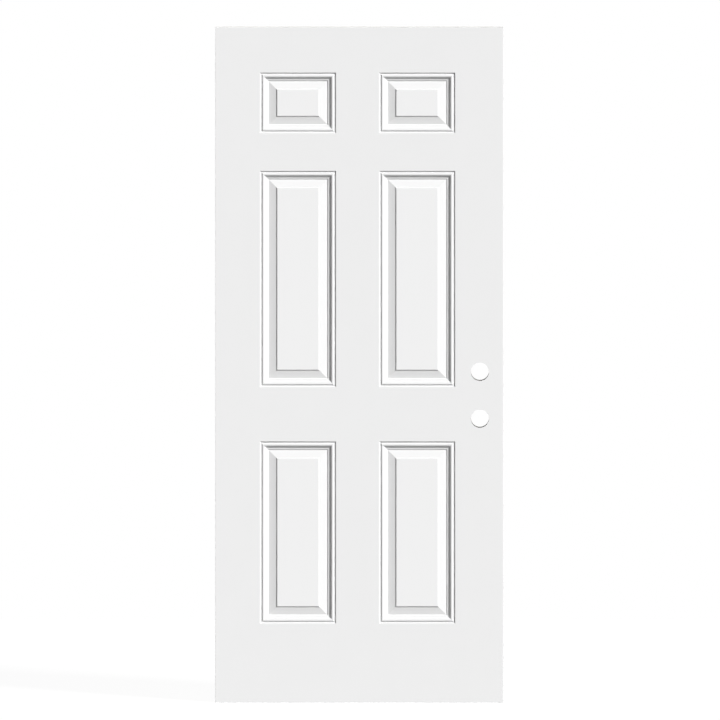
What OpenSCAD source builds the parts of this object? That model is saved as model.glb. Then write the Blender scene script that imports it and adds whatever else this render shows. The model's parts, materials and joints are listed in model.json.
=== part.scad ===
// Six-panel insulated entry door slab: two pressed steel skins over a frame and a foam core,
// bored for a lockset and a deadbolt and pocketed for three hinges.
// X runs from the hinge edge to the lock edge, Y from the front face to the back face and Z up.
// The origin is the middle of the bottom edge. Sizes are in millimetres.

/* [Slab] */
// Width, hinge edge to lock edge
door_w = 857.25; // [840:0.05:920]
// Height
door_h = 2012.95; // [1980:0.05:2140]
// Thickness over both skins
door_t = 44.45; // [42:0.05:50]

/* [Steel skins] */
// Gauge of the sheet
skin_t = 0.6; // [0.4:0.05:0.8]
// Outside radius of the folded long edges
fold_r = 1.1; // [1:0.1:3]
// Depth of the flange folded round each long edge
flange_d = 5; // [4:0.25:5.5]
// Length of the hem hooked into the stile
hem_l = 5; // [3:0.5:8]
// Clearance of the hem in its kerf
hem_gap = 0.2; // [0.1:0.05:0.3]

/* [Panel layout] */
// Shift of the six panels from the middle of the slab towards the lock edge
layout_shift = -5.1; // [-8:0.1:8]
// Width of a panel over its moulding
panel_w = 227.3; // [200:0.1:235]
// Space between the two columns of panels
mullion_w = 127; // [110:0.1:140]
// Top edge to the upper panels
top_margin = 134.6; // [110:0.1:160]
// Height of the upper panels
upper_h = 181.8; // [150:0.1:200]
// Space between the upper and the middle panels
frieze_h = 111.3; // [90:0.1:130]
// Height of the middle panels
middle_h = 645.6; // [600:0.1:680]
// Space between the middle and the lower panels
lock_rail_h = 161; // [140:0.1:180]
// Height of the lower panels
lower_h = 544.2; // [500:0.1:580]

/* [Panel moulding] */
// Width of the groove round a panel
groove_w = 9.4; // [7:0.1:11]
// Depth of the groove
groove_d = 3.8; // [3:0.1:4.6]
// Width of the flat bottom of the groove and of the recess
land_w = 0.6; // [0.4:0.1:1]
// Width of the crown between the groove and the ogee
crown_w = 2; // [1:0.1:4]
// Drop of the crown below the face
crown_drop = 0.6; // [0.2:0.1:1]
// Width of the ogee that falls into the recess
ogee_w = 11; // [9:0.1:14]
// Fall of the ogee
ogee_fall = 7.6; // [7:0.1:8.5]
// Width of the flat foot of the ogee
foot_w = 0.8; // [0.4:0.1:2]
// Width of the quirk between the foot and the recess
quirk_w = 3.9; // [3:0.1:5]
// Fall of the quirk
quirk_fall = 2.4; // [2:0.1:3]
// Width of the bevel that rises to the field
bevel_w = 20.4; // [15:0.1:24]
// Rise of the bevel
bevel_rise = 4.7; // [4:0.1:5]
// Width of the step at the edge of the field
step_w = 4.6; // [3:0.1:6]
// Rise of the step
step_rise = 3.4; // [3:0.1:4]

/* [Frame and lock block] */
// Width of each stile
stile_w = 32; // [28:0.5:38]
// Height of the top rail
top_rail_h = 38; // [30:0.5:60]
// Height of the bottom rail
bottom_rail_h = 44; // [40:0.5:80]
// Width of the lock block past the bores, on the panel side
block_wall = 30; // [20:0.5:36]
// Height of the lock block
block_h = 380; // [300:1:500]
// Width of each kerf for the door sweep
sweep_kerf_w = 3; // [2:0.1:4]
// Depth of each kerf for the door sweep
sweep_kerf_d = 12; // [8:0.5:16]
// Spacing of the two sweep kerfs
sweep_kerf_pitch = 22; // [16:0.5:26]

/* [Frame staples] */
// Width of the staple wire
wire_w = 1.5; // [1:0.1:2]
// Width of a staple over its legs
staple_w = 25; // [16:0.5:32]
// Length of a staple's legs
staple_l = 18; // [12:0.5:19]
// Spacing of the two staples at a joint
staple_pitch = 18; // [12:0.5:20]

/* [Lock bores] */
// Diameter of the cross bores
bore_d = 53.975; // [50:0.005:58]
// Lock edge to the centre of the bores
backset = 69.85; // [66:0.05:73]
// Bottom edge to the lockset bore
lockset_z = 846; // [800:1:960]
// Spacing of the lockset and deadbolt bores
bore_pitch = 139.7; // [120:0.1:160]
// Diameter of the latch bores
latch_d = 25.4; // [22:0.1:26]
// Width of the latch plate recess
plate_w = 25.8; // [24:0.1:29]
// Height of the latch plate recess
plate_h = 57.6; // [54:0.1:60]
// Depth of the latch plate recess
plate_d = 3.2; // [2:0.1:4]
// Corner radius of the latch plate recess
plate_r = 6.35; // [3:0.05:10]
// Spacing of the latch plate screws
plate_screw_pitch = 41.3; // [36:0.1:44]

/* [Hinge pockets] */
// Height of a hinge pocket
hinge_h = 102; // [88:0.1:115]
// Front face to the blind edge of a hinge pocket
hinge_backset = 6.35; // [6.3:0.05:8]
// Depth of a hinge pocket
hinge_d = 3.2; // [2:0.1:4]
// Corner radius of a hinge pocket
hinge_r = 15.875; // [6:0.005:16]
// Top edge to the middle of the top hinge
hinge_top = 230; // [160:1:300]
// Bottom edge to the middle of the bottom hinge
hinge_bottom = 270; // [200:1:340]
// Spacing of the outer hinge screws
outer_screw_pitch = 76; // [70:0.5:80]
// Back face to the outer hinge screws
outer_screw_in = 14; // [11:0.1:16]
// Spacing of the inner hinge screws
inner_screw_pitch = 28; // [20:0.5:36]
// Back face to the inner hinge screws
inner_screw_in = 27; // [20:0.1:30]

/* [Screw pilots] */
// Diameter of the screw pilot holes
pilot_d = 3.2; // [2.5:0.1:4]
// Depth of the screw pilot holes
pilot_l = 20; // [15:0.5:22]

/* [Hidden] */
// Flat runs per ogee, and per half groove, quirk or step
OGEE_STEPS = 8;
CURVE_STEPS = 4;
// Overlap that takes a cut cleanly past a face
over = 1;

primer = "#eeeeee";
pine = "#d8b98c";
composite = "#7a7975";
vinyl = "#ebebe8";
foam = "#ece0ae";
zinc = "#b8bcc0";

edge_x = door_w / 2;
face_y = door_t / 2;
wood_y = face_y - skin_t;
// Half of the timber strip that shows between the two hems
strip_y = face_y - flange_d - hem_gap;
// Inner faces of the stiles and rails
stile_x = edge_x - stile_w;
rail_top_z = door_h - top_rail_h;

// Places of the moulding's runs, from the outer edge of a panel inwards
groove_mid = groove_w / 2;
ogee_start = groove_w + crown_w;
ogee_end = ogee_start + ogee_w;
quirk_start = ogee_end + foot_w;
recess_start = quirk_start + quirk_w;
bevel_start = recess_start + land_w;
bevel_end = bevel_start + bevel_w;
field_start = bevel_end + step_w;
// Depths of the moulding below the face
ogee_foot = crown_drop + ogee_fall;
recess_d = ogee_foot + quirk_fall;
bevel_top = recess_d - bevel_rise;
field_d = bevel_top - step_rise;

panel_xs = [for (side = [-1, 1]) layout_shift + side * (panel_w + mullion_w) / 2];
upper_z = door_h - top_margin - upper_h / 2;
middle_z = upper_z - upper_h / 2 - frieze_h - middle_h / 2;
lower_z = middle_z - middle_h / 2 - lock_rail_h - lower_h / 2;
panel_rows = [[upper_z, upper_h], [middle_z, middle_h], [lower_z, lower_h]];

bore_x = edge_x - backset;
block_x = bore_x - bore_d / 2 - block_wall;
bore_zs = [lockset_z, lockset_z + bore_pitch];
block_z = lockset_z + bore_pitch / 2;

// Middle of the staples at the bottom joints, clear of the sweep kerfs, and at the top joints
staple_zs = [(sweep_kerf_d + bottom_rail_h) / 2, rail_top_z + top_rail_h / 2];

leaf_w = door_t - hinge_backset;
hinge_zs = [hinge_bottom, (hinge_bottom + door_h - hinge_top) / 2, door_h - hinge_top];

// Points of a pressed S-curve from one [inset, depth] to another, level at both ends
function s_curve(a, b, steps) =
    [for (i = [0:steps])
        let (u = i / steps, eased = (1 - cos(180 * u)) / 2)
        [a[0] + u * (b[0] - a[0]), a[1] + eased * (b[1] - a[1])]];

GROOVE_FALL = s_curve([0, 0], [groove_mid - land_w / 2, groove_d], CURVE_STEPS);
GROOVE_RISE = s_curve([groove_mid + land_w / 2, groove_d], [groove_w, crown_drop], CURVE_STEPS);
OGEE_FALL = concat(
    s_curve([ogee_start, crown_drop], [ogee_end, ogee_foot], OGEE_STEPS),
    s_curve([quirk_start, ogee_foot], [recess_start, recess_d], CURVE_STEPS));
FIELD_RISE = concat(
    [[bevel_start, recess_d]],
    s_curve([bevel_end, bevel_top], [field_start, field_d], CURVE_STEPS));

// Section across a span: the run on both sides, closed at the depth given
module run_section(run, span, closed_at) {
    first = run[0][0];
    left = [for (p = run) [p[0] - span / 2, p[1]]];
    right = [for (i = [len(run) - 1:-1:0]) [span / 2 - run[i][0], run[i][1]]];
    polygon(concat([[first - span / 2, closed_at]], left, right, [[span / 2 - first, closed_at]]));
}

// A run carried round a panel of width w and height h, with mitred corners
module mitred_run(run, w, h, closed_at) {
    intersection() {
        linear_extrude(height = h, center = true) run_section(run, w, closed_at);
        rotate([0, -90, 0])
            linear_extrude(height = w, center = true) run_section(run, h, closed_at);
    }
}

// What the press displaces below the face plane y = 0 for one panel
module panel_recess(w, h) {
    outside = -skin_t / 2;
    inside = recess_d + over;
    difference() {
        mitred_run(GROOVE_FALL, w, h, outside);
        mitred_run(GROOVE_RISE, w, h, inside);
    }
    difference() {
        mitred_run(OGEE_FALL, w, h, outside);
        mitred_run(FIELD_RISE, w, h, inside);
    }
}

// The six recesses on the front face, set below it by the depth given
module panel_recesses(below) {
    for (x = panel_xs, row = panel_rows)
        translate([x, below - face_y, row[0]]) panel_recess(panel_w, row[1]);
}

// Room that the pressings of both skins take inside the slab
module pressings_room() {
    panel_recesses(skin_t);
    mirror([0, 1, 0]) panel_recesses(skin_t);
}

module round_rect(w, t, r) {
    square([w - 2 * r, t], center = true);
    square([w, t - 2 * r], center = true);
    for (x = [-1, 1], y = [-1, 1])
        translate([x * (w / 2 - r), y * (t / 2 - r)]) circle(r = r, $fn = 32);
}

// Space inside the two folded skins
module inner_section() {
    round_rect(door_w - 2 * skin_t, door_t - 2 * skin_t, fold_r - skin_t);
}

// Front skin seen from above: face, folded flanges and hems
module skin_section() {
    difference() {
        round_rect(door_w, door_t, fold_r);
        inner_section();
        translate([-door_w, flange_d - face_y]) square([2 * door_w, 2 * door_t]);
    }
    for (side = [0, 1])
        mirror([side, 0])
            translate([edge_x - skin_t - hem_l, flange_d - skin_t - face_y])
                square([skin_t + hem_l, skin_t]);
}

module cross_bores() {
    for (z = bore_zs)
        translate([bore_x, 0, z])
            rotate([90, 0, 0]) cylinder(d = bore_d, h = door_t + 2 * over, center = true, $fn = 96);
}

module pressed_skin() {
    difference() {
        union() {
            linear_extrude(height = door_h) skin_section();
            panel_recesses(skin_t);
        }
        panel_recesses(0);
    }
}

module front_skin() {
    color(primer)
        difference() {
            pressed_skin();
            cross_bores();
        }
}

module back_skin() {
    color(primer)
        difference() {
            mirror([0, 1, 0]) pressed_skin();
            cross_bores();
            hinge_pockets();
        }
}

// Outline of a hinge pocket: X from its blind edge to the back face and past it, Y up
module leaf_outline(past) {
    translate([hinge_r, -hinge_h / 2]) square([leaf_w - hinge_r + past, hinge_h]);
    translate([0, hinge_r - hinge_h / 2]) square([hinge_r + past, hinge_h - 2 * hinge_r]);
    for (side = [-1, 1])
        translate([hinge_r, side * (hinge_h / 2 - hinge_r)]) circle(r = hinge_r, $fn = 64);
}

// Pockets on the hinge edge, open to the back face
module hinge_pockets() {
    for (z = hinge_zs)
        translate([hinge_d - edge_x, face_y - leaf_w, z])
            rotate([0, 0, 90]) rotate([90, 0, 0]) mirror([0, 0, 1])
                linear_extrude(height = hinge_d + over) leaf_outline(over);
}

// A pilot hole along X from the origin into the slab
module pilot_hole() {
    rotate([0, 90, 0]) cylinder(d = pilot_d, h = pilot_l, $fn = 24);
}

module hinge_pilots() {
    for (z = hinge_zs, side = [-1, 1]) {
        translate([hinge_d - edge_x, face_y - outer_screw_in, z + side * outer_screw_pitch / 2])
            pilot_hole();
        translate([hinge_d - edge_x, face_y - inner_screw_in, z + side * inner_screw_pitch / 2])
            pilot_hole();
    }
}

// Latch plate recesses in the lock edge, with their screw pilots
module latch_plates() {
    for (z = bore_zs)
        translate([edge_x - plate_d, 0, z]) {
            rotate([90, 0, 90])
                linear_extrude(height = plate_d + over) round_rect(plate_w, plate_h, plate_r);
            for (side = [-1, 1])
                translate([0, 0, side * plate_screw_pitch / 2]) mirror([1, 0, 0]) pilot_hole();
        }
}

// Latch bores from the lock edge into the cross bores
module latch_bores() {
    for (z = bore_zs)
        translate([bore_x, 0, z])
            rotate([0, 90, 0]) cylinder(d = latch_d, h = backset + over, $fn = 64);
}

// Lock-edge stile seen from above: rebated for the flanges and kerfed for the hems
module stile_section() {
    difference() {
        union() {
            intersection() {
                inner_section();
                translate([stile_x, -face_y]) square([stile_w, door_t]);
            }
            translate([stile_x, -strip_y]) square([stile_w, 2 * strip_y]);
        }
        for (side = [0, 1])
            mirror([0, side])
                translate([edge_x - skin_t - hem_l - hem_gap, strip_y])
                    square([skin_t + hem_l + hem_gap + over, skin_t + hem_gap]);
    }
}

module hinge_stile() {
    color(pine)
        difference() {
            mirror([1, 0, 0]) linear_extrude(height = door_h) stile_section();
            hinge_pockets();
            hinge_pilots();
            staples();
        }
}

module lock_stile() {
    color(pine)
        difference() {
            linear_extrude(height = door_h) stile_section();
            latch_plates();
            latch_bores();
            staples();
        }
}

// A rail between the stiles, from the origin up
module rail(h) {
    translate([-stile_x, -wood_y, 0]) cube([2 * stile_x, 2 * wood_y, h]);
}

module top_rail() {
    color(vinyl)
        difference() {
            translate([0, 0, rail_top_z]) rail(top_rail_h);
            staples();
        }
}

module bottom_rail() {
    color(composite)
        difference() {
            rail(bottom_rail_h);
            for (side = [-1, 1])
                translate([-edge_x, side * sweep_kerf_pitch / 2 - sweep_kerf_w / 2, -over])
                    cube([door_w, sweep_kerf_w, sweep_kerf_d + over]);
            staples();
        }
}

// Block that fills the slab round the cross bores, taken past the skins and the stile by the length given
module lock_block_blank(past = 0) {
    translate([block_x, -wood_y - past, block_z - block_h / 2])
        cube([stile_x - block_x + past, 2 * (wood_y + past), block_h]);
}

module lock_block() {
    color(composite)
        difference() {
            lock_block_blank();
            pressings_room();
            cross_bores();
            latch_bores();
        }
}

module foam_core() {
    color(foam)
        difference() {
            translate([-stile_x, -wood_y, bottom_rail_h])
                cube([2 * stile_x, 2 * wood_y, rail_top_z - bottom_rail_h]);
            lock_block_blank(over);
            pressings_room();
        }
}

// One staple, its crown on the origin along X and its legs along +Y
module staple() {
    translate([-staple_w / 2, 0, -wire_w / 2]) cube([staple_w, wire_w, wire_w]);
    for (side = [0, 1])
        mirror([side, 0, 0])
            translate([staple_w / 2 - wire_w, 0, -wire_w / 2]) cube([wire_w, staple_l, wire_w]);
}

// Staples across the four joints of the frame, driven flush from both faces
module staples() {
    for (joint = [-stile_x, stile_x], z = staple_zs, side = [-1, 1], face = [0, 1])
        mirror([0, face, 0])
            translate([joint, -wood_y, z + side * staple_pitch / 2]) staple();
}

module frame_staples() {
    color(zinc) staples();
}

front_skin();
back_skin();
hinge_stile();
lock_stile();
top_rail();
bottom_rail();
lock_block();
foam_core();
frame_staples();
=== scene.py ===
"""Looks of a six-panel insulated entry door slab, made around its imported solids.

The two pressed steel skins are modelled here as folded sheets. The timber, composite, vinyl, foam and wire
pieces keep their solids and get their finishes. Lengths are in metres, in the frame of the solids: X from the
hinge edge to the lock edge, Y from the front face to the back face, Z up.
"""

import json
import logging
import math
from collections.abc import Iterable
from dataclasses import dataclass, field
from enum import Enum

import bmesh
import bpy
from mathutils import Euler, Matrix, Vector


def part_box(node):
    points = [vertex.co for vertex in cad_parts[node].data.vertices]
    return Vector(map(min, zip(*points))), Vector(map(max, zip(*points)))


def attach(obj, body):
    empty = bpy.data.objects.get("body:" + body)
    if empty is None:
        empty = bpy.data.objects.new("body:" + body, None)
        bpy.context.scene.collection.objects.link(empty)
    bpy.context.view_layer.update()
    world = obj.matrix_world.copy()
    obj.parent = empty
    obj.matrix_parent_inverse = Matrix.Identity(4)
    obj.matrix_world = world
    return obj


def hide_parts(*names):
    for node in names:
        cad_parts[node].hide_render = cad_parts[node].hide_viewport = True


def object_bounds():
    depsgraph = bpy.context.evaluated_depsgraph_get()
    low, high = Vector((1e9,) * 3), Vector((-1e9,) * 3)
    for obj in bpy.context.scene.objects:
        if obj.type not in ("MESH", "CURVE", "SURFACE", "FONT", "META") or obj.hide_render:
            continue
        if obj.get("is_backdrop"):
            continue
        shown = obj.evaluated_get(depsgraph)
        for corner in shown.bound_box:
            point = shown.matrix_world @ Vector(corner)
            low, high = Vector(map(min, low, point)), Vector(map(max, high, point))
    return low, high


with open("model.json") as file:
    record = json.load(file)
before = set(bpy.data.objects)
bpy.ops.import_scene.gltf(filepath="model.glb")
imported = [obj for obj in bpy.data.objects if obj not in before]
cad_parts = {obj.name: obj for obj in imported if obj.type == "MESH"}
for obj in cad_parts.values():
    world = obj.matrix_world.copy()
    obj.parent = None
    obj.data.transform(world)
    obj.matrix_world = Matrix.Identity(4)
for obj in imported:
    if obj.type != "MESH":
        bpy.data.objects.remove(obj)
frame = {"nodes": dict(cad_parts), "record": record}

MM = 0.001
BODY = "root"
LOG = logging.getLogger("door_slab")

# Directions on the sheet, and the signs of the two sides of a middle line.
ACROSS = Vector((1, 0, 0))
UP = Vector((0, 0, 1))
SIDES = (-1, 1)

# Colour sockets of a Mix node, whose names are shared with its other sockets.
MIX_BY, MIX_FROM, MIX_TO, MIXED = 0, 6, 7, 2

# Length over which a wave texture of scale 1 repeats.
WAVE_PERIOD = math.pi / 10


def linear(hex_colour: str) -> tuple[float, float, float, float]:
    """Turn an sRGB hex colour into linear light.

    Args:
        hex_colour: Colour as "#RRGGBB".

    Returns:
        Linear red, green and blue, with alpha 1.
    """
    parts = [int(hex_colour[i:i + 2], 16) / 255 for i in (1, 3, 5)]
    red, green, blue = (p / 12.92 if p <= 0.04045 else ((p + 0.055) / 1.055) ** 2.4 for p in parts)
    return red, green, blue, 1.0


def per_metre(size_mm: float) -> float:
    """Pattern scale at which one feature is about size_mm across."""
    return 1 / (size_mm * MM)


def add_node(
    tree: bpy.types.NodeTree,
    kind: str,
    settings: dict[str, object] | None = None,
    inputs: dict[str | int, object] | None = None,
) -> bpy.types.Node:
    """Add a shader node, set it up and wire its inputs.

    Args:
        tree: Node tree that gets the node.
        kind: Type name of the node.
        settings: Properties of the node, by name.
        inputs: Value or output socket for each input, by name or number.

    Returns:
        The new node.
    """
    node = tree.nodes.new(kind)
    for name, value in (settings or {}).items():
        setattr(node, name, value)
    for key, value in (inputs or {}).items():
        if isinstance(value, bpy.types.NodeSocket):
            tree.links.new(value, node.inputs[key])
        else:
            node.inputs[key].default_value = value
    return node


def new_material(name: str) -> tuple[bpy.types.Material, bpy.types.NodeTree, bpy.types.Node]:
    """Start a material from a bare principled shader.

    Args:
        name: Name of the finish.

    Returns:
        The material, its node tree and its principled shader.
    """
    material = bpy.data.materials.new(name)
    material.use_nodes = True
    tree = material.node_tree
    tree.nodes.clear()
    shader = add_node(tree, "ShaderNodeBsdfPrincipled")
    add_node(tree, "ShaderNodeOutputMaterial", inputs={"Surface": shader.outputs["BSDF"]})
    return material, tree, shader


@dataclass(frozen=True)
class PrimedSteel:
    """Galvanised sheet sprayed square on with white polyester primer and baked.

    To the eye it is an even, neutral and nearly matt white. The level fields of the panels are painted a
    shade whiter, which is painted light, and all that slopes is painted greyer, which is painted shade that
    darkens the pressed lines. Close up it has the fine dimples that sprayed paint dries to.

    Attributes:
        flange_x: Distance from the slab's middle at which the face turns into the flanges.
        face_y: Distance from the slab's middle to the face.
        field_drop_mm: Depth below the face from which level sheet counts as a field.
        level_cos: Cosine of the lean up to which sheet counts as level.
        flat_cos: Cosine of the lean at which the painted shade starts.
        steep_cos: Cosine of the lean from which the painted shade is darkest.
    """

    flange_x: float
    face_y: float
    name: str = "sprayed_primer"
    colour: str = "#EEEEEE"
    cloud_colour: str = "#ECECEC"
    # Painted light: the level fields of the panels are a shade whiter.
    field_light_colour: str = "#F0F0F0"
    # Painted shade: the steep walls of the mouldings are greyer, which darkens the pressed lines.
    steep_shade_colour: str = "#E0E0E0"
    field_drop_mm: float = 2.0
    level_cos: float = 0.995
    flat_cos: float = 0.998
    steep_cos: float = 0.92
    roughness: float = 0.65
    sheen: float = 0.2
    cloud_mm: float = 90.0
    cloud_detail: float = 3.0
    peel_mm: float = 2.4
    peel_detail: float = 1.5
    peel_height_mm: float = 0.012

    def material(self) -> bpy.types.Material:
        """Build the paint's material.

        Returns:
            The material.
        """
        material, tree, shader = new_material(self.name)
        place = add_node(tree, "ShaderNodeTexCoord").outputs["Object"]
        cloud = add_node(tree, "ShaderNodeTexNoise", inputs={
            "Vector": place, "Scale": per_metre(self.cloud_mm), "Detail": self.cloud_detail})
        tint = add_node(tree, "ShaderNodeMix", {"data_type": "RGBA"}, {
            MIX_BY: cloud.outputs["Fac"], MIX_FROM: linear(self.colour), MIX_TO: linear(self.cloud_colour)})
        # Painted light: a whiter tone on the level fields.
        field_lit_paint = add_node(tree, "ShaderNodeMix", {"data_type": "RGBA"}, {
            MIX_BY: self._field_light_mask(tree), MIX_FROM: tint.outputs[MIXED], MIX_TO: linear(self.field_light_colour)})
        # Painted shade: a greyer tone on the steep moulding walls.
        film = add_node(tree, "ShaderNodeMix", {"data_type": "RGBA"}, {
            MIX_BY: self._steep_shade(tree), MIX_FROM: field_lit_paint.outputs[MIXED], MIX_TO: linear(self.steep_shade_colour)})
        peel = add_node(tree, "ShaderNodeTexNoise", inputs={
            "Vector": place, "Scale": per_metre(self.peel_mm), "Detail": self.peel_detail})
        dimple = add_node(tree, "ShaderNodeBump", inputs={
            "Strength": 1.0, "Distance": self.peel_height_mm * MM, "Height": peel.outputs["Fac"]})
        tree.links.new(film.outputs[MIXED], shader.inputs["Base Color"])
        tree.links.new(dimple.outputs["Normal"], shader.inputs["Normal"])
        shader.inputs["Roughness"].default_value = self.roughness
        shader.inputs["Specular IOR Level"].default_value = self.sheen
        return material

    def _size(self, tree: bpy.types.NodeTree, output: str, axis: str) -> bpy.types.NodeSocket:
        """Read one axis of the surface's place or direction, without its sign.

        Args:
            tree: Node tree of the paint.
            output: "Object" for the place, "Normal" for the direction.
            axis: Letter of the axis.

        Returns:
            Socket with the size of that axis.
        """
        surface = add_node(tree, "ShaderNodeTexCoord").outputs[output]
        parts = add_node(tree, "ShaderNodeSeparateXYZ", inputs={0: surface})
        return add_node(tree, "ShaderNodeMath", {"operation": "ABSOLUTE"}, {
            0: parts.outputs[axis]}).outputs[0]

    def _field_light_mask(self, tree: bpy.types.NodeTree) -> bpy.types.NodeSocket:
        """Find the level fields, which lie a little below the face and get a whiter tone as painted light.

        Args:
            tree: Node tree of the paint.

        Returns:
            Socket that is 1 on the fields and 0 elsewhere.
        """
        level = add_node(tree, "ShaderNodeMath", {"operation": "GREATER_THAN"}, {
            0: self._size(tree, "Normal", "Y"), 1: self.level_cos})
        sunk = add_node(tree, "ShaderNodeMath", {"operation": "LESS_THAN"}, {
            0: self._size(tree, "Object", "Y"), 1: self.face_y - self.field_drop_mm * MM})
        return add_node(tree, "ShaderNodeMath", {"operation": "MULTIPLY"}, {
            0: level.outputs[0], 1: sunk.outputs[0]}).outputs[0]

    def _steep_shade(self, tree: bpy.types.NodeTree) -> bpy.types.NodeSocket:
        """Find how much painted shade the sheet gets, from how steep the pressed sheet leans from the face.

        Args:
            tree: Node tree of the paint.

        Returns:
            Socket that is 0 on the flat face and on the flanges and 1 on the steep walls.
        """
        steep = add_node(tree, "ShaderNodeMapRange", inputs={
            "Value": self._size(tree, "Normal", "Y"), "From Min": self.flat_cos, "From Max": self.steep_cos})
        on_face = add_node(tree, "ShaderNodeMath", {"operation": "LESS_THAN"}, {
            0: self._size(tree, "Object", "X"), 1: self.flange_x})
        return add_node(tree, "ShaderNodeMath", {"operation": "MULTIPLY"}, {
            0: steep.outputs[0], 1: on_face.outputs[0]}).outputs[0]


@dataclass(frozen=True)
class BareSteel:
    """Sheared edge and unpainted inside of the galvanised sheet.

    To the eye it is a dull blue-grey metal, cloudy with zinc spangle.
    """

    name: str = "galvanised_steel"
    colour: str = "#9FA3A6"
    spangle_colour: str = "#83878B"
    spangle_mm: float = 6.0
    low_roughness: float = 0.38
    high_roughness: float = 0.6

    def material(self) -> bpy.types.Material:
        """Build the bare sheet's material.

        Returns:
            The material.
        """
        material, tree, shader = new_material(self.name)
        place = add_node(tree, "ShaderNodeTexCoord").outputs["Object"]
        spangle = add_node(tree, "ShaderNodeTexVoronoi", inputs={
            "Vector": place, "Scale": per_metre(self.spangle_mm)})
        tone = add_node(tree, "ShaderNodeSeparateColor", inputs={0: spangle.outputs["Color"]}).outputs[0]
        tint = add_node(tree, "ShaderNodeMix", {"data_type": "RGBA"}, {
            MIX_BY: tone, MIX_FROM: linear(self.colour), MIX_TO: linear(self.spangle_colour)})
        dull = add_node(tree, "ShaderNodeMapRange", inputs={
            "Value": tone, "To Min": self.low_roughness, "To Max": self.high_roughness})
        tree.links.new(tint.outputs[MIXED], shader.inputs["Base Color"])
        tree.links.new(dull.outputs["Result"], shader.inputs["Roughness"])
        shader.inputs["Metallic"].default_value = 1.0
        return material


@dataclass(frozen=True)
class FingerJointedPine:
    """Planed pine in short lengths, glued end to end.

    To the eye it is pale yellow wood with brown year lines along it. Each length has its own tone and its own
    lines, and the lengths meet in zigzag glue joints. The sawn ends are sealed with white primer.

    Attributes:
        stile_h: Height of the stiles, from end to end.
        heart_reach_mm: How far the log's heart may move from one length to the next.
    """

    stile_h: float
    name: str = "finger_jointed_pine"
    early_colour: str = "#E4CBA0"
    late_colour: str = "#C4935A"
    pale_colour: str = "#EFDDBB"
    glue_colour: str = "#9A7448"
    seal_colour: str = "#ECECEA"
    seal_mm: float = 0.5
    ring_mm: float = 4.5
    ring_stretch: float = 0.035
    ring_waver: float = 3.0
    ring_detail: float = 2.0
    ring_detail_scale: float = 0.6
    heart_reach_mm: tuple[float, float, float] = (120.0, 160.0, 3000.0)
    late_start: float = 0.35
    late_share: float = 0.75
    length_mm: float = 365.0
    pale_share: float = 0.55
    finger_mm: float = 6.5
    finger_l_mm: float = 11.0
    glue_mm: float = 0.45
    # Single fibres are too fine to show, so they are drawn as bundles of this width.
    fibre_mm: float = 0.7
    fibre_l_mm: float = 35.0
    fibre_detail: float = 2.0
    fibre_height_mm: float = 0.05
    streak_start: float = 0.3
    streak_end: float = 0.7
    streak_share: float = 0.35
    low_roughness: float = 0.55
    high_roughness: float = 0.75
    sheen: float = 0.0

    def material(self) -> bpy.types.Material:
        """Build the timber's material.

        Returns:
            The material.
        """
        material, tree, shader = new_material(self.name)
        place = add_node(tree, "ShaderNodeTexCoord").outputs["Object"]
        parts = add_node(tree, "ShaderNodeSeparateXYZ", inputs={0: place})
        along = self._along(tree, parts)
        chance = self._chance(tree, along)
        bundles = add_node(tree, "ShaderNodeMapping", inputs={
            "Vector": place, "Scale": (1.0, 1.0, self.fibre_mm / self.fibre_l_mm)})
        fibre = add_node(tree, "ShaderNodeTexNoise", inputs={
            "Vector": bundles.outputs[0], "Scale": per_metre(self.fibre_mm),
            "Detail": self.fibre_detail}).outputs["Fac"]
        bleach = add_node(tree, "ShaderNodeMapRange", inputs={
            "Value": chance.outputs["Value"], "To Max": self.pale_share})
        toned = add_node(tree, "ShaderNodeMix", {"data_type": "RGBA"}, {
            MIX_BY: bleach.outputs[0], MIX_FROM: self._grain(tree, place, chance, fibre),
            MIX_TO: linear(self.pale_colour)})
        jointed = add_node(tree, "ShaderNodeMix", {"data_type": "RGBA"}, {
            MIX_BY: self._glue(tree, along), MIX_FROM: toned.outputs[MIXED],
            MIX_TO: linear(self.glue_colour)})
        sealed = add_node(tree, "ShaderNodeMix", {"data_type": "RGBA"}, {
            MIX_BY: self._ends(tree, parts), MIX_FROM: jointed.outputs[MIXED],
            MIX_TO: linear(self.seal_colour)})
        dull = add_node(tree, "ShaderNodeMapRange", inputs={
            "Value": fibre, "To Min": self.low_roughness, "To Max": self.high_roughness})
        rough = add_node(tree, "ShaderNodeBump", inputs={
            "Strength": 1.0, "Distance": self.fibre_height_mm * MM, "Height": fibre})
        tree.links.new(sealed.outputs[MIXED], shader.inputs["Base Color"])
        tree.links.new(dull.outputs[0], shader.inputs["Roughness"])
        tree.links.new(rough.outputs["Normal"], shader.inputs["Normal"])
        shader.inputs["Specular IOR Level"].default_value = self.sheen
        return material

    def _along(self, tree: bpy.types.NodeTree, parts: bpy.types.Node) -> bpy.types.NodeSocket:
        """Measure the way along the timber so that the cut of a joint runs in a zigzag.

        Args:
            tree: Node tree of the timber.
            parts: Node that gives the place by its axes.

        Returns:
            Socket with the way along the timber.
        """
        half = self.finger_mm * MM / 2
        zigzag = add_node(tree, "ShaderNodeMath", {"operation": "PINGPONG"}, {0: parts.outputs["Y"], 1: half})
        return add_node(tree, "ShaderNodeMath", {"operation": "MULTIPLY_ADD"}, {
            0: zigzag.outputs[0], 1: self.finger_l_mm * MM / half, 2: parts.outputs["Z"]}).outputs[0]

    def _chance(self, tree: bpy.types.NodeTree, along: bpy.types.NodeSocket) -> bpy.types.Node:
        """Draw chance numbers that stay the same within one length of timber.

        Args:
            tree: Node tree of the timber.
            along: Way along the timber.

        Returns:
            Node that gives the numbers.
        """
        lengths = add_node(tree, "ShaderNodeMath", {"operation": "DIVIDE"}, {
            0: along, 1: self.length_mm * MM})
        number = add_node(tree, "ShaderNodeMath", {"operation": "FLOOR"}, {0: lengths.outputs[0]})
        return add_node(tree, "ShaderNodeTexWhiteNoise", {"noise_dimensions": "1D"}, {"W": number.outputs[0]})

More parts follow.
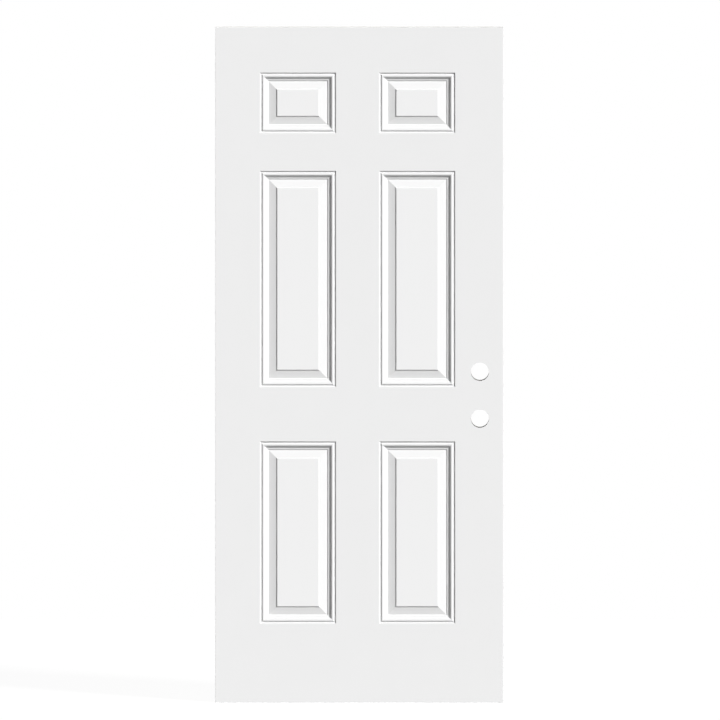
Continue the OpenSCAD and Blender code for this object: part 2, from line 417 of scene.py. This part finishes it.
    def _grain(
        self,
        tree: bpy.types.NodeTree,
        place: bpy.types.NodeSocket,
        chance: bpy.types.Node,
        fibre: bpy.types.NodeSocket,
    ) -> bpy.types.NodeSocket:
        """Colour the wood by its year lines and its fibre.

        Args:
            tree: Node tree of the timber.
            place: Place on the timber.
            chance: Node with the chance numbers of each length.
            fibre: Pattern of the fibre.

        Returns:
            Socket with the colour.
        """
        heart = add_node(tree, "ShaderNodeVectorMath", {"operation": "MULTIPLY_ADD"}, {
            0: chance.outputs["Color"], 1: [reach * MM for reach in self.heart_reach_mm], 2: place})
        log = add_node(tree, "ShaderNodeMapping", inputs={
            "Vector": heart.outputs[0], "Scale": (1.0, 1.0, self.ring_stretch)})
        rings = add_node(tree, "ShaderNodeTexWave", {
            "wave_type": "RINGS", "rings_direction": "Z", "wave_profile": "SAW"}, {
            "Vector": log.outputs[0], "Scale": WAVE_PERIOD * per_metre(self.ring_mm),
            "Distortion": self.ring_waver, "Detail": self.ring_detail,
            "Detail Scale": self.ring_detail_scale})
        late = add_node(tree, "ShaderNodeMapRange", {"interpolation_type": "SMOOTHSTEP"}, {
            "Value": rings.outputs["Fac"], "From Min": self.late_start, "To Max": self.late_share})
        wood = add_node(tree, "ShaderNodeMix", {"data_type": "RGBA"}, {
            MIX_BY: late.outputs[0], MIX_FROM: linear(self.early_colour), MIX_TO: linear(self.late_colour)})
        streak = add_node(tree, "ShaderNodeMapRange", inputs={
            "Value": fibre, "From Min": self.streak_start, "From Max": self.streak_end,
            "To Max": self.streak_share})
        return add_node(tree, "ShaderNodeMix", {"data_type": "RGBA"}, {
            MIX_BY: streak.outputs[0], MIX_FROM: wood.outputs[MIXED],
            MIX_TO: linear(self.late_colour)}).outputs[MIXED]

    def _glue(self, tree: bpy.types.NodeTree, along: bpy.types.NodeSocket) -> bpy.types.NodeSocket:
        """Find the glue lines between the lengths.

        Args:
            tree: Node tree of the timber.
            along: Way along the timber.

        Returns:
            Socket that is 1 on the glue and 0 elsewhere.
        """
        from_joint = add_node(tree, "ShaderNodeMath", {"operation": "PINGPONG"}, {
            0: along, 1: self.length_mm * MM / 2})
        return add_node(tree, "ShaderNodeMath", {"operation": "LESS_THAN"}, {
            0: from_joint.outputs[0], 1: self.glue_mm * MM}).outputs[0]

    def _ends(self, tree: bpy.types.NodeTree, parts: bpy.types.Node) -> bpy.types.NodeSocket:
        """Find the sealed ends of the stiles.

        Args:
            tree: Node tree of the timber.
            parts: Node that gives the place by its axes.

        Returns:
            Socket that is 1 on the ends and 0 elsewhere.
        """
        middle = add_node(tree, "ShaderNodeMath", {"operation": "SUBTRACT"}, {
            0: parts.outputs["Z"], 1: self.stile_h / 2})
        out = add_node(tree, "ShaderNodeMath", {"operation": "ABSOLUTE"}, {0: middle.outputs[0]})
        return add_node(tree, "ShaderNodeMath", {"operation": "GREATER_THAN"}, {
            0: out.outputs[0], 1: self.stile_h / 2 - self.seal_mm * MM}).outputs[0]


@dataclass(frozen=True)
class FibreComposite:
    """Extruded wood-fibre composite, sawn and bored.

    To the eye it is a dull dark grey without sheen, flecked with paler and darker bits of fibre and slightly
    rough.
    """

    name: str = "wood_fibre_composite"
    colour: str = "#7A7975"
    pale_colour: str = "#918F8A"
    dark_colour: str = "#5F5E5A"
    fleck_mm: float = 1.6
    fleck_detail: float = 4.0
    fleck_grit: float = 0.6
    pale_start: float = 0.54
    pale_end: float = 0.72
    dark_start: float = 0.46
    dark_end: float = 0.3
    cloud_mm: float = 24.0
    cloud_detail: float = 2.0
    cloud_start: float = 0.3
    cloud_end: float = 0.7
    cloud_share: float = 0.3
    grit_height_mm: float = 0.12
    low_roughness: float = 0.6
    high_roughness: float = 0.8
    sheen: float = 0.0

    def material(self) -> bpy.types.Material:
        """Build the composite's material.

        Returns:
            The material.
        """
        material, tree, shader = new_material(self.name)
        place = add_node(tree, "ShaderNodeTexCoord").outputs["Object"]
        fleck = add_node(tree, "ShaderNodeTexNoise", inputs={
            "Vector": place, "Scale": per_metre(self.fleck_mm), "Detail": self.fleck_detail,
            "Roughness": self.fleck_grit}).outputs["Fac"]
        cloud = add_node(tree, "ShaderNodeTexNoise", inputs={
            "Vector": place, "Scale": per_metre(self.cloud_mm), "Detail": self.cloud_detail})
        pale = add_node(tree, "ShaderNodeMapRange", inputs={
            "Value": fleck, "From Min": self.pale_start, "From Max": self.pale_end})
        dark = add_node(tree, "ShaderNodeMapRange", inputs={
            "Value": fleck, "From Min": self.dark_start, "From Max": self.dark_end})
        base = add_node(tree, "ShaderNodeMix", {"data_type": "RGBA"}, {
            MIX_BY: pale.outputs[0], MIX_FROM: linear(self.colour), MIX_TO: linear(self.pale_colour)})
        flecked = add_node(tree, "ShaderNodeMix", {"data_type": "RGBA"}, {
            MIX_BY: dark.outputs[0], MIX_FROM: base.outputs[MIXED], MIX_TO: linear(self.dark_colour)})
        haze = add_node(tree, "ShaderNodeMapRange", inputs={
            "Value": cloud.outputs["Fac"], "From Min": self.cloud_start, "From Max": self.cloud_end,
            "To Max": self.cloud_share})
        tint = add_node(tree, "ShaderNodeMix", {"data_type": "RGBA"}, {
            MIX_BY: haze.outputs[0], MIX_FROM: flecked.outputs[MIXED], MIX_TO: linear(self.pale_colour)})
        dull = add_node(tree, "ShaderNodeMapRange", inputs={
            "Value": fleck, "To Min": self.low_roughness, "To Max": self.high_roughness})
        grit = add_node(tree, "ShaderNodeBump", inputs={
            "Strength": 1.0, "Distance": self.grit_height_mm * MM, "Height": fleck})
        tree.links.new(tint.outputs[MIXED], shader.inputs["Base Color"])
        tree.links.new(dull.outputs[0], shader.inputs["Roughness"])
        tree.links.new(grit.outputs["Normal"], shader.inputs["Normal"])
        shader.inputs["Specular IOR Level"].default_value = self.sheen
        return material


@dataclass(frozen=True)
class CellularVinyl:
    """Extruded cellular vinyl, sawn to length.

    To the eye it is a soft matt white with faint lines along the extrusion.
    """

    name: str = "cellular_vinyl"
    colour: str = "#EBEBE8"
    line_colour: str = "#DEDEDA"
    line_mm: float = 1.1
    line_l_mm: float = 60.0
    line_detail: float = 2.0
    line_height_mm: float = 0.03
    roughness: float = 0.7
    sheen: float = 0.01

    def material(self) -> bpy.types.Material:
        """Build the vinyl's material.

        Returns:
            The material.
        """
        material, tree, shader = new_material(self.name)
        place = add_node(tree, "ShaderNodeTexCoord").outputs["Object"]
        drawn = add_node(tree, "ShaderNodeMapping", inputs={
            "Vector": place, "Scale": (self.line_mm / self.line_l_mm, 1.0, 1.0)})
        line = add_node(tree, "ShaderNodeTexNoise", inputs={
            "Vector": drawn.outputs[0], "Scale": per_metre(self.line_mm), "Detail": self.line_detail})
        tint = add_node(tree, "ShaderNodeMix", {"data_type": "RGBA"}, {
            MIX_BY: line.outputs["Fac"], MIX_FROM: linear(self.colour), MIX_TO: linear(self.line_colour)})
        ridge = add_node(tree, "ShaderNodeBump", inputs={
            "Strength": 1.0, "Distance": self.line_height_mm * MM, "Height": line.outputs["Fac"]})
        tree.links.new(tint.outputs[MIXED], shader.inputs["Base Color"])
        tree.links.new(ridge.outputs["Normal"], shader.inputs["Normal"])
        shader.inputs["Roughness"].default_value = self.roughness
        shader.inputs["Specular IOR Level"].default_value = self.sheen
        return material


@dataclass(frozen=True)
class RigidFoam:
    """Poured closed-cell polyurethane foam.

    To the eye it is a dry cream yellow with a fine bubbly grain.
    """

    name: str = "rigid_foam"
    colour: str = "#ECE0AE"
    cell_colour: str = "#D6C68C"
    # Drawn about four times as coarse as the real cells, which are too fine to show.
    cell_mm: float = 1.2
    cell_height_mm: float = 0.25
    cell_bump: float = 0.6
    roughness: float = 0.9

    def material(self) -> bpy.types.Material:
        """Build the foam's material.

        Returns:
            The material.
        """
        material, tree, shader = new_material(self.name)
        place = add_node(tree, "ShaderNodeTexCoord").outputs["Object"]
        cell = add_node(tree, "ShaderNodeTexVoronoi", inputs={
            "Vector": place, "Scale": per_metre(self.cell_mm)})
        tint = add_node(tree, "ShaderNodeMix", {"data_type": "RGBA"}, {
            MIX_BY: cell.outputs["Distance"], MIX_FROM: linear(self.colour),
            MIX_TO: linear(self.cell_colour)})
        pit = add_node(tree, "ShaderNodeBump", inputs={
            "Strength": self.cell_bump, "Distance": self.cell_height_mm * MM,
            "Height": cell.outputs["Distance"]})
        tree.links.new(tint.outputs[MIXED], shader.inputs["Base Color"])
        tree.links.new(pit.outputs["Normal"], shader.inputs["Normal"])
        shader.inputs["Roughness"].default_value = self.roughness
        return material


@dataclass(frozen=True)
class ZincWire:
    """Drawn and zinc-plated steel wire.

    To the eye it is a bright cool grey metal, a little patchy where the plating dulls.
    """

    name: str = "zinc_plated_wire"
    colour: str = "#B8BCC0"
    dull_colour: str = "#9DA1A6"
    patch_mm: float = 2.5
    patch_detail: float = 3.0
    low_roughness: float = 0.28
    high_roughness: float = 0.45

    def material(self) -> bpy.types.Material:
        """Build the wire's material.

        Returns:
            The material.
        """
        material, tree, shader = new_material(self.name)
        place = add_node(tree, "ShaderNodeTexCoord").outputs["Object"]
        patch = add_node(tree, "ShaderNodeTexNoise", inputs={
            "Vector": place, "Scale": per_metre(self.patch_mm), "Detail": self.patch_detail})
        tint = add_node(tree, "ShaderNodeMix", {"data_type": "RGBA"}, {
            MIX_BY: patch.outputs["Fac"], MIX_FROM: linear(self.colour), MIX_TO: linear(self.dull_colour)})
        dull = add_node(tree, "ShaderNodeMapRange", inputs={
            "Value": patch.outputs["Fac"], "To Min": self.low_roughness, "To Max": self.high_roughness})
        tree.links.new(tint.outputs[MIXED], shader.inputs["Base Color"])
        tree.links.new(dull.outputs[0], shader.inputs["Roughness"])
        shader.inputs["Metallic"].default_value = 1.0
        return material


@dataclass(frozen=True)
class Core:
    """What is between the skins: frame, lock block, foam and staples, kept as their solids."""

    pine: FingerJointedPine
    composite: FibreComposite = FibreComposite()
    vinyl: CellularVinyl = CellularVinyl()
    foam: RigidFoam = RigidFoam()
    wire: ZincWire = ZincWire()

    def dress(self) -> dict[str, str]:
        """Give each solid its finish.

        Returns:
            Name of the finish of each node.
        """
        worn = {}
        for finish, nodes in (
            (self.pine, ("hinge_stile", "lock_stile")),
            (self.composite, ("bottom_rail", "lock_block")),
            (self.vinyl, ("top_rail",)),
            (self.foam, ("foam_core",)),
            (self.wire, ("frame_staples",)),
        ):
            material = finish.material()
            for node in nodes:
                slots = frame["nodes"][node].data.materials
                slots.clear()
                slots.append(material)
                worn[node] = finish.name
        return worn


class Side(Enum):
    """Face of the slab that a skin covers, as the sign of its Y."""

    FRONT = -1
    BACK = 1


@dataclass(frozen=True)
class Moulding:
    """Pressed moulding round one panel, from its outer edge inwards and down from the face."""

    groove_w: float = 9.4 * MM
    groove_d: float = 3.8 * MM
    land_w: float = 0.6 * MM
    crown_w: float = 2.0 * MM
    crown_drop: float = 0.6 * MM
    ogee_w: float = 11.0 * MM
    ogee_fall: float = 7.6 * MM
    foot_w: float = 0.8 * MM
    quirk_w: float = 3.9 * MM
    quirk_fall: float = 2.4 * MM
    bevel_w: float = 20.4 * MM
    bevel_rise: float = 4.7 * MM
    step_w: float = 4.6 * MM
    step_rise: float = 3.4 * MM
    margin: float = 1.0 * MM
    curve_steps: int = 10

    def _s_curve(self, width: float, fall: float) -> list[tuple[float, float]]:
        """Divide a pressed S-curve into small moves.

        Args:
            width: Inset of the whole curve.
            fall: Drop of the whole curve, negative where it rises.

        Returns:
            Inset and drop of each move.
        """
        heights = [
            (1 - math.cos(math.pi * i / self.curve_steps)) / 2 * fall
            for i in range(self.curve_steps + 1)
        ]
        return [(width / self.curve_steps, b - a) for a, b in zip(heights, heights[1:])]

    def moves(self) -> list[tuple[float, float]]:
        """Give the profile of the moulding as successive moves.

        Returns:
            Inset and drop of each move, from the flat face to the flat field.
        """
        half_groove = (self.groove_w - self.land_w) / 2
        return [
            (self.margin, 0.0),
            *self._s_curve(half_groove, self.groove_d),
            (self.land_w, 0.0),
            *self._s_curve(half_groove, self.crown_drop - self.groove_d),
            (self.crown_w, 0.0),
            *self._s_curve(self.ogee_w, self.ogee_fall),
            (self.foot_w, 0.0),
            *self._s_curve(self.quirk_w, self.quirk_fall),
            (self.land_w, 0.0),
            (self.bevel_w, -self.bevel_rise),
            *self._s_curve(self.step_w, -self.step_rise),
            (self.margin, 0.0),
        ]


@dataclass(frozen=True)
class PanelLayout:
    """Places of the six panels on a face."""

    shift: float = -5.1 * MM
    panel_w: float = 227.3 * MM
    mullion_w: float = 127.0 * MM
    top_margin: float = 134.6 * MM
    upper_h: float = 181.8 * MM
    frieze_h: float = 111.3 * MM
    middle_h: float = 645.6 * MM
    lock_rail_h: float = 161.0 * MM
    lower_h: float = 544.2 * MM

    def columns(self) -> list[float]:
        """Middle of each column of panels."""
        return [self.shift + side * (self.panel_w + self.mullion_w) / 2 for side in SIDES]

    def rows(self, door_h: float) -> list[tuple[float, float]]:
        """Give the middle and height of each row of panels.

        Args:
            door_h: Height of the slab.

        Returns:
            One pair for each row, from the top down.
        """
        found = []
        top = door_h - self.top_margin
        for height, rail in (
            (self.upper_h, self.frieze_h),
            (self.middle_h, self.lock_rail_h),
            (self.lower_h, 0.0),
        ):
            found.append((top - height / 2, height))
            top -= height + rail
        return found


@dataclass
class DoorSkin:
    """One pressed and folded steel skin.

    Attributes:
        patch_w: Side of the square that each bore is cut in.
        sharp_l: Run on both axes from which an edge counts as a mitre.
        crease: Angle from which an edge is shaded sharp.
        weld: Distance at which a cut takes a point that is already there.
        near: Distance at which a point counts as on the fold.
        half_w: Distance from the middle to the long edges.
        top: Height of the sheet.
        face: Distance from the middle to the face.
    """

    node: str
    side: Side
    paint: bpy.types.Material
    bare: bpy.types.Material
    moulding: Moulding = Moulding()
    layout: PanelLayout = PanelLayout()
    gauge: float = 0.6 * MM
    fold_r: float = 1.1 * MM
    fold_steps: int = 6
    flange_d: float = 5.0 * MM
    hem_l: float = 5.0 * MM
    bore_r: float = 26.9875 * MM
    bore_sides: int = 96
    patch_w: float = 66.0 * MM
    pocket_h: float = 102.0 * MM
    pocket_d: float = 3.2 * MM
    sharp_l: float = 0.05 * MM
    crease: float = math.radians(28)
    weld: float = 0.01 * MM
    near: float = 0.001 * MM
    half_w: float = field(init=False)
    top: float = field(init=False)
    face: float = field(init=False)

    def __post_init__(self) -> None:
        """Take the sheet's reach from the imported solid."""
        low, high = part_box(self.node)
        self.half_w = high.x
        self.top = high.z
        self.face = -low.y if self.side is Side.FRONT else high.y

    def build(self, bores: list[Vector], hinges: list[Vector]) -> bpy.types.Object:
        """Model the skin as a folded sheet with thickness.

        Args:
            bores: Centres of the cross bores.
            hinges: Middles of the hinge pockets.

        Returns:
            The skin's object.
        """
        mesh = bmesh.new()
        self._flat_sheet(mesh)
        self._press_panels(mesh)
        self._bore(mesh, bores)
        self._fold_edges(mesh)
        if self.side is Side.BACK:
            bmesh.ops.scale(mesh, vec=(1, -1, 1), verts=mesh.verts)
            bmesh.ops.reverse_faces(mesh, faces=mesh.faces)
            self._notch_hinges(mesh, hinges)
        self._thicken(mesh)
        return self._piece(mesh)

    def dress(self, piece: bpy.types.Object) -> None:
        """Give the outside of the sheet its paint and leave the rest bare.

        Args:
            piece: The skin's object.
        """
        for material in (self.paint, self.bare):
            piece.data.materials.append(material)

    def _cut(
        self,
        mesh: bmesh.types.BMesh,
        faces: Iterable[bmesh.types.BMFace],
        at: Vector,
        normal: Vector,
    ) -> None:
        """Split some faces along a plane.

        Args:
            mesh: Sheet to cut.
            faces: Faces that the cut goes through.
            at: Point on the plane.
            normal: Direction across the plane.
        """
        cut = list(faces)
        edges = {e for f in cut for e in f.edges}
        verts = {v for f in cut for v in f.verts}
        bmesh.ops.bisect_plane(
            mesh, geom=[*cut, *edges, *verts], dist=self.weld, plane_co=at, plane_no=normal)

    def _flat_sheet(self, mesh: bmesh.types.BMesh) -> None:
        """Lay out the flat face and score it round the panels.

        Args:
            mesh: Empty mesh that gets the face.
        """
        reach = self.half_w - self.fold_r
        corners = [(-reach, 0), (reach, 0), (reach, self.top), (-reach, self.top)]
        mesh.faces.new([mesh.verts.new((x, -self.face, z)) for x, z in corners])
        margin = self.moulding.margin
        scores = [side * (reach - margin) for side in SIDES]
        for x in self.layout.columns():
            scores += [x + side * (self.layout.panel_w / 2 + margin) for side in SIDES]
        for x in scores:
            self._cut(mesh, mesh.faces, ACROSS * x, ACROSS)
        for z, height in self.layout.rows(self.top):
            for side in SIDES:
                self._cut(mesh, mesh.faces, UP * (z + side * (height / 2 + margin)), UP)

    def _face_at(self, mesh: bmesh.types.BMesh, x: float, z: float) -> bmesh.types.BMFace:
        """Find the face whose middle is nearest to a place on the sheet.

        Args:
            mesh: The flat sheet.
            x: Place across the sheet.
            z: Place up the sheet.

        Returns:
            The face.
        """
        place = Vector((x, -self.face, z))
        return min(mesh.faces, key=lambda f: (f.calc_center_median() - place).length)

    def _press_panels(self, mesh: bmesh.types.BMesh) -> None:
        """Press the moulding into each panel, one ring at a time.

        Args:
            mesh: The scored sheet.
        """
        places = [(x, z) for x in self.layout.columns() for z, _ in self.layout.rows(self.top)]
        panels = [self._face_at(mesh, x, z) for x, z in places]
        for panel in panels:
            for inset, drop in self.moulding.moves():
                bmesh.ops.inset_region(
                    mesh, faces=[panel], thickness=inset, depth=-drop,
                    use_boundary=True, use_even_offset=True)

    def _bore(self, mesh: bmesh.types.BMesh, bores: list[Vector]) -> None:
        """Cut the round bores through the sheet.

        A square patch round each bore gives way to a ring of faces between the square and the circle.

        Args:
            mesh: The pressed sheet.
            bores: Centres of the bores.
        """
        inner_edge = self.layout.columns()[-1] + self.layout.panel_w / 2 + self.moulding.margin
        for bore in bores:
            for axis in (ACROSS, UP):
                for side in SIDES:
                    strip = [f for f in mesh.faces if f.calc_center_median().x > inner_edge]
                    self._cut(mesh, strip, bore + axis * side * self.patch_w / 2, axis)
            patch = self._face_at(mesh, bore.x, bore.z)
            rim = list(patch.edges)
            bmesh.ops.delete(mesh, geom=[patch], context="FACES_ONLY")
            split = bmesh.ops.subdivide_edges(mesh, edges=rim, cuts=self.bore_sides // len(rim) - 1)
            outer = [g for g in split["geom"] if isinstance(g, bmesh.types.BMEdge) and g.is_boundary]
            place = Matrix.Translation((bore.x, -self.face, bore.z)) @ Matrix.Rotation(math.pi / 2, 4, "X")
            ring = bmesh.ops.create_circle(mesh, segments=self.bore_sides, radius=self.bore_r, matrix=place)
            inner = {e for v in ring["verts"] for e in v.link_edges}
            bmesh.ops.bridge_loops(mesh, edges=[*outer, *inner])

    def _fold_edges(self, mesh: bmesh.types.BMesh) -> None:
        """Fold a flange and a hem along both long edges.

        Args:
            mesh: The pressed and bored sheet.
        """
        reach = self.half_w - self.fold_r
        margin = self.moulding.margin
        flange = self.flange_d - self.fold_r - margin
        hem = self.hem_l + self.gauge
        for side in SIDES:
            edges = [e for e in mesh.edges if e.is_boundary and all(
                abs(v.co.x - side * reach) < self.near for v in e.verts)]
            verts = {v for e in edges for v in e.verts}
            turned = bmesh.ops.spin(
                mesh, geom=[*verts, *edges], cent=(side * reach, self.fold_r - self.face, 0), axis=UP,
                angle=side * math.pi / 2, steps=self.fold_steps, use_duplicate=False)
            last = [g for g in turned["geom_last"] if isinstance(g, bmesh.types.BMEdge)]
            for move in ((0, margin, 0), (0, flange, 0), (-side * hem, 0, 0)):
                drawn = bmesh.ops.extrude_edge_only(mesh, edges=last)
                moved = [g for g in drawn["geom"] if isinstance(g, bmesh.types.BMVert)]
                last = [g for g in drawn["geom"] if isinstance(g, bmesh.types.BMEdge)]
                bmesh.ops.translate(mesh, verts=moved, vec=move)

    def _notch_hinges(self, mesh: bmesh.types.BMesh, hinges: list[Vector]) -> None:
        """Cut the fold, the flange and the hem away at the hinge pockets.

        Args:
            mesh: The folded sheet.
            hinges: Middles of the pockets.
        """
        line = self.pocket_d - self.half_w
        at_edge = [f for f in mesh.faces if min(v.co.x for v in f.verts) < line]
        self._cut(mesh, at_edge, ACROSS * line, ACROSS)
        for hinge in hinges:
            for side in SIDES:
                strip = [f for f in mesh.faces if f.calc_center_median().x < line]
                self._cut(mesh, strip, hinge + UP * side * self.pocket_h / 2, UP)
            gone = [f for f in mesh.faces if f.calc_center_median().x < line
                    and abs(f.calc_center_median().z - hinge.z) < self.pocket_h / 2]
            bmesh.ops.delete(mesh, geom=gone, context="FACES")

    def _thicken(self, mesh: bmesh.types.BMesh) -> None:
        """Give the sheet its gauge, tell painted from bare faces and mark the sharp edges.

        Painted faces get the first of the sheet's two materials and bare ones the second.

        Args:
            mesh: The folded sheet.
        """
        painted = set(mesh.faces)
        bmesh.ops.solidify(mesh, geom=mesh.faces, thickness=self.gauge)
        for face in mesh.faces:
            face.smooth = True
            face.material_index = 0 if face in painted else 1
        for edge in mesh.edges:
            run = edge.verts[1].co - edge.verts[0].co
            mitre = min(abs(run.x), abs(run.z)) > self.sharp_l
            edge.smooth = not mitre and edge.calc_face_angle(0.0) < self.crease

    def _piece(self, mesh: bmesh.types.BMesh) -> bpy.types.Object:
        """Turn the sheet into a piece that stands for its solid.

        Args:
            mesh: The finished sheet.

        Returns:
            The skin's object.
        """
        data = bpy.data.meshes.new(f"{self.node}_sheet")
        mesh.to_mesh(data)
        mesh.free()
        piece = bpy.data.objects.new(f"{self.node}_sheet", data)
        bpy.context.scene.collection.objects.link(piece)
        even = piece.modifiers.new("even_shading", "WEIGHTED_NORMAL")
        even.keep_sharp = True
        self.dress(piece)
        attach(piece, BODY)
        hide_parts(self.node)
        return piece


@dataclass(frozen=True)
class Lamp:
    """Soft parallel light, placed round the object from the middle of its front face.

    A share of 1 on a surface square to the lamp shows a colour as it is written.
    """

    name: str
    share: float
    right_deg: float
    up_deg: float
    spread_deg: float

    def hang(self) -> None:
        """Put the lamp in the scene."""
        data = bpy.data.lights.new(self.name, "SUN")
        data.energy = math.pi * self.share
        data.angle = math.radians(self.spread_deg)
        lamp = bpy.data.objects.new(self.name, data)
        up, right = math.radians(self.up_deg), math.radians(self.right_deg)
        lamp.rotation_euler = Euler((math.pi / 2 - up, 0, right))
        bpy.context.scene.collection.objects.link(lamp)


@dataclass(frozen=True)
class Studio:
    """White floor, plain soft light and the camera."""

    view_w: float = 2.1416
    aim: tuple[float, float, float] = (2.3 * MM, 0.0, 1019.5 * MM)
    elevation_deg: float = 4.0
    distance: float = 6.0
    lamps: tuple[Lamp, ...] = (
        Lamp("key", share=1.47, right_deg=44.5, up_deg=29.0, spread_deg=12.0),
        Lamp("edge", share=0.75, right_deg=-97.0, up_deg=5.0, spread_deg=14.0),
        Lamp("back", share=0.85, right_deg=-160.0, up_deg=14.0, spread_deg=40.0),
    )
    fill_share: float = 0.08
    floor_w: float = 7.0
    floor_colour: str = "#505050"
    floor_glow: float = 0.935

    def build(self) -> None:
        """Set up the camera, the light and the floor."""
        self._camera()
        for lamp in self.lamps:
            lamp.hang()
        self._surround()
        self._floor()

    def _camera(self) -> None:
        """Set up the parallel view of the front face."""
        data = bpy.data.cameras.new("camera")
        data.type = "ORTHO"
        data.ortho_scale = self.view_w
        camera = bpy.data.objects.new("camera", data)
        tilt = math.radians(self.elevation_deg)
        back = Vector((0, -math.cos(tilt), math.sin(tilt)))
        camera.location = Vector(self.aim) + back * self.distance
        camera.rotation_euler = (math.pi / 2 - tilt, 0, 0)
        bpy.context.scene.collection.objects.link(camera)
        bpy.context.scene.camera = camera

    def _surround(self) -> None:
        """Fill the shadows a little from all round and show white behind the object."""
        world = bpy.data.worlds.new("surround")
        world.use_nodes = True
        tree = world.node_tree
        tree.nodes.clear()
        fill = add_node(tree, "ShaderNodeBackground", inputs={
            "Color": (1, 1, 1, 1), "Strength": self.fill_share})
        white = add_node(tree, "ShaderNodeBackground", inputs={"Color": (1, 1, 1, 1), "Strength": 1.0})
        both = add_node(tree, "ShaderNodeMixShader", inputs={
            0: self._seen(tree), 1: fill.outputs[0], 2: white.outputs[0]})
        add_node(tree, "ShaderNodeOutputWorld", inputs={"Surface": both.outputs[0]})
        bpy.context.scene.world = world

    def _seen(self, tree: bpy.types.NodeTree) -> bpy.types.NodeSocket:
        """Find where the camera looks, straight, in a reflection or through a see-through piece.

        Args:
            tree: Node tree of the floor or the world.

        Returns:
            Socket that is 1 for such a look and 0 for light on the object.
        """
        path = add_node(tree, "ShaderNodeLightPath")
        total = path.outputs["Is Camera Ray"]
        for ray in ("Is Glossy Ray", "Is Transmission Ray"):
            total = add_node(tree, "ShaderNodeMath", {"operation": "MAXIMUM"}, {
                0: total, 1: path.outputs[ray]}).outputs[0]
        return total

    def _floor(self) -> None:
        """Lay the floor."""
        mesh = bmesh.new()
        bmesh.ops.create_grid(mesh, x_segments=1, y_segments=1, size=self.floor_w / 2)
        data = bpy.data.meshes.new("floor")
        mesh.to_mesh(data)
        mesh.free()
        data.materials.append(self._floor_material())
        piece = bpy.data.objects.new("floor", data)
        bpy.context.scene.collection.objects.link(piece)
        piece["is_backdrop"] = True

    def _floor_material(self) -> bpy.types.Material:
        """Build a floor that looks white, keeps a pale shadow and throws little light up at the object.

        Returns:
            The material.
        """
        material = bpy.data.materials.new("white_floor")
        material.use_nodes = True
        tree = material.node_tree
        tree.nodes.clear()
        strength = add_node(tree, "ShaderNodeMath", {"operation": "MULTIPLY"}, {
            0: self._seen(tree), 1: self.floor_glow})
        paint = add_node(tree, "ShaderNodeBsdfDiffuse", inputs={"Color": linear(self.floor_colour)})
        glow = add_node(tree, "ShaderNodeEmission", inputs={"Strength": strength.outputs[0]})
        both = add_node(tree, "ShaderNodeAddShader", inputs={0: paint.outputs[0], 1: glow.outputs[0]})
        add_node(tree, "ShaderNodeOutputMaterial", inputs={"Surface": both.outputs[0]})
        return material


def main() -> None:
    """Build the slab's looks and the studio, and log what is made."""
    logging.basicConfig(level=logging.INFO, format="%(name)s: %(message)s")
    cad_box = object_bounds()
    corner = cad_box[1]
    mounts = {m["name"]: Vector(m["pos_m"]) for m in frame["record"]["mounts"]}
    bores = [mounts[name] for name in ("lockset_bore", "deadbolt_bore")]
    hinges = [mounts[f"{place}_hinge_seat"] for place in ("top", "middle", "bottom")]
    paint = PrimedSteel(flange_x=corner.x - DoorSkin.fold_r, face_y=corner.y).material()
    bare = BareSteel().material()
    for node, side in (("front_skin", Side.FRONT), ("back_skin", Side.BACK)):
        skin = DoorSkin(node, side, paint, bare).build(bores, hinges)
        LOG.info("made %s, %d faces", skin.name, len(skin.data.polygons))
    core = Core(FingerJointedPine(stile_h=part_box("lock_stile")[1].z))
    for node, finish in core.dress().items():
        LOG.info("dressed %s in %s", node, finish)
    Studio().build()
    bpy.context.scene.view_settings.view_transform = "Standard"


if __name__ == "__main__":
    main()
